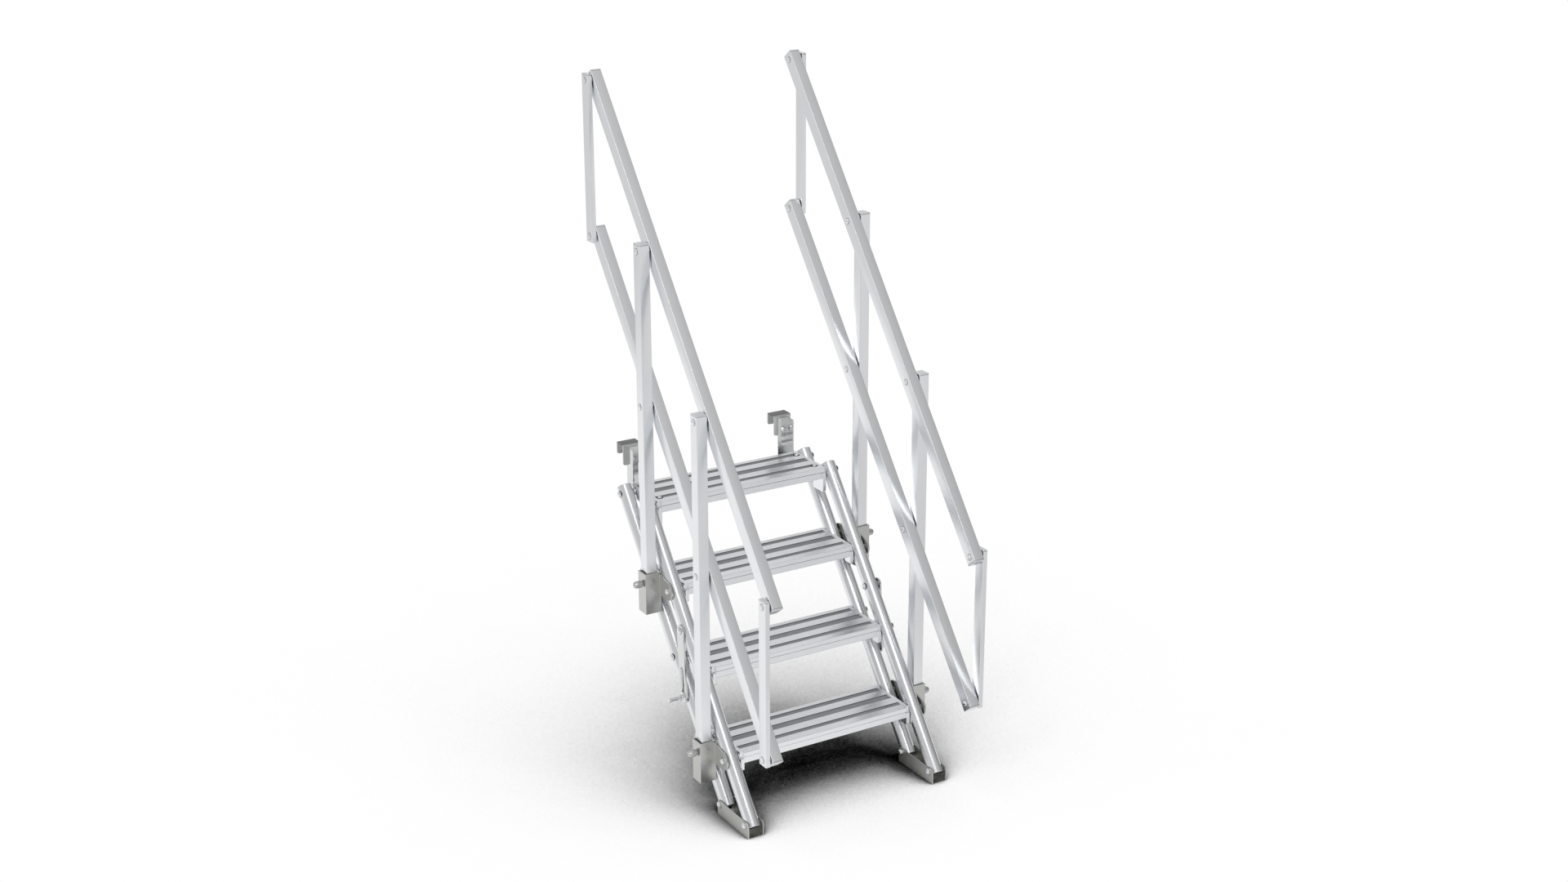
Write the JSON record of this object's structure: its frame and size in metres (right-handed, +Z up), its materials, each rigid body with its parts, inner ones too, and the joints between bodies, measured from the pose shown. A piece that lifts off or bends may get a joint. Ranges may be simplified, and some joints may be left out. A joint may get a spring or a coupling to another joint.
{
  "type": "access stair",
  "caption": "Folding aluminium access stair with level grooved treads, paired tube stringers, hinged guards on both sides, channel feet and hooks that hang it on a platform edge.",
  "frame": {"origin": "middle of the left hook's seat, the underside of its top plate", "axes": "+X across the stair to the right as one climbs, +Y in the climbing direction towards the platform, +Z up"},
  "size_m": [0.9162, 1.1448, 2.2654],
  "materials": {
    "tread_aluminium": "satin extruded",
    "tube_aluminium": "polished",
    "post_aluminium": "satin anodised",
    "rail_aluminium": "satin anodised",
    "bracket_steel": "dull galvanised",
    "hook_steel": "dull galvanised",
    "link_steel": "galvanised",
    "bolt_zinc": "bright zinc plated"
  },
  "bodies": {
    "top": {"tread_4": "tread_aluminium", "tread_4_brackets": "bracket_steel", "left_hook_frame": "hook_steel", "right_hook_frame": "hook_steel", "left_hook": "hook_steel", "right_hook": "hook_steel", "hook_bolts": "bolt_zinc"},
    "front_stringers": {"left_front_stringer": "tube_aluminium", "right_front_stringer": "tube_aluminium", "front_pivot_bolts": "bolt_zinc", "lock_bolts": "bolt_zinc"},
    "rear_stringers": {"left_rear_stringer": "tube_aluminium", "right_rear_stringer": "tube_aluminium", "rear_pivot_bolts": "bolt_zinc", "lock_screws": "bolt_zinc"},
    "step_1": {"tread_1": "tread_aluminium", "tread_1_brackets": "bracket_steel", "left_lower_socket": "bracket_steel", "right_lower_socket": "bracket_steel", "left_lower_post": "post_aluminium", "right_lower_post": "post_aluminium", "lower_clamp_screws": "bolt_zinc"},
    "step_2": {"tread_2": "tread_aluminium", "tread_2_brackets": "bracket_steel"},
    "step_3": {"tread_3": "tread_aluminium", "tread_3_brackets": "bracket_steel", "left_upper_socket": "bracket_steel", "right_upper_socket": "bracket_steel", "left_upper_post": "post_aluminium", "right_upper_post": "post_aluminium", "upper_clamp_screws": "bolt_zinc"},
    "feet": {"left_foot": "bracket_steel", "right_foot": "bracket_steel"},
    "handrails": {"left_handrail": "rail_aluminium", "right_handrail": "rail_aluminium", "handrail_bolts": "bolt_zinc"},
    "knee_rails": {"left_knee_rail": "rail_aluminium", "right_knee_rail": "rail_aluminium", "knee_rail_bolts": "bolt_zinc"},
    "upper_end_bars": {"left_upper_end_bar": "rail_aluminium", "right_upper_end_bar": "rail_aluminium"},
    "lower_end_bars": {"left_lower_end_bar": "rail_aluminium", "right_lower_end_bar": "rail_aluminium"},
    "lock_links": {"left_lock_link": "link_steel", "right_lock_link": "link_steel"}
  },
  "joints": [
    {"name": "slope", "type": "hinge", "parent": "top", "child": "front_stringers", "pos_m": [0.291, -0.244, -0.139], "axis": [1, 0, 0], "range_deg": [-22, 0]},
    {"name": "rear_stringer_swing", "type": "hinge", "parent": "top", "child": "rear_stringers", "pos_m": [0.291, -0.086, -0.139], "axis": [1, 0, 0], "range_deg": [-22, 0]},
    {"name": "step_1_level", "type": "hinge", "parent": "front_stringers", "child": "step_1", "pos_m": [0.291, -0.769, -0.814], "axis": [1, 0, 0], "range_deg": [0, 22]},
    {"name": "step_2_level", "type": "hinge", "parent": "front_stringers", "child": "step_2", "pos_m": [0.291, -0.594, -0.589], "axis": [1, 0, 0], "range_deg": [0, 22]},
    {"name": "step_3_level", "type": "hinge", "parent": "front_stringers", "child": "step_3", "pos_m": [0.291, -0.419, -0.364], "axis": [1, 0, 0], "range_deg": [0, 22]},
    {"name": "foot_level", "type": "hinge", "parent": "front_stringers", "child": "feet", "pos_m": [0.291, -0.89916, -0.98134], "axis": [1, 0, 0], "range_deg": [0, 22]},
    {"name": "handrail_swing", "type": "hinge", "parent": "step_1", "child": "handrails", "pos_m": [0.291, -0.693, 0.295], "axis": [1, 0, 0], "range_deg": [-22, 0]},
    {"name": "knee_rail_swing", "type": "hinge", "parent": "step_1", "child": "knee_rails", "pos_m": [0.291, -0.693, -0.205], "axis": [1, 0, 0], "range_deg": [-22, 0]},
    {"name": "upper_end_bar_level", "type": "hinge", "parent": "handrails", "child": "upper_end_bars", "pos_m": [0.291, 0.02229, 1.21467], "axis": [1, 0, 0], "range_deg": [0, 22]},
    {"name": "lower_end_bar_level", "type": "hinge", "parent": "handrails", "child": "lower_end_bars", "pos_m": [0.291, -1.05829, -0.17466], "axis": [1, 0, 0], "range_deg": [0, 22]},
    {"name": "lock_link_swing", "type": "hinge", "parent": "front_stringers", "child": "lock_links", "pos_m": [0.291, -0.50132, -0.46984], "axis": [1, 0, 0], "range_deg": [-4.74, 0]}
  ],
  "couplings": [
    {"joint": "rear_stringer_swing", "follows": "slope", "ratio": 1},
    {"joint": "step_1_level", "follows": "slope", "ratio": -1},
    {"joint": "step_2_level", "follows": "slope", "ratio": -1},
    {"joint": "step_3_level", "follows": "slope", "ratio": -1},
    {"joint": "foot_level", "follows": "slope", "ratio": -1},
    {"joint": "handrail_swing", "follows": "slope", "ratio": 1},
    {"joint": "knee_rail_swing", "follows": "slope", "ratio": 1},
    {"joint": "upper_end_bar_level", "follows": "slope", "ratio": -1},
    {"joint": "lower_end_bar_level", "follows": "slope", "ratio": -1},
    {"joint": "lock_link_swing", "follows": "slope", "ratio": 0.215}
  ]
}
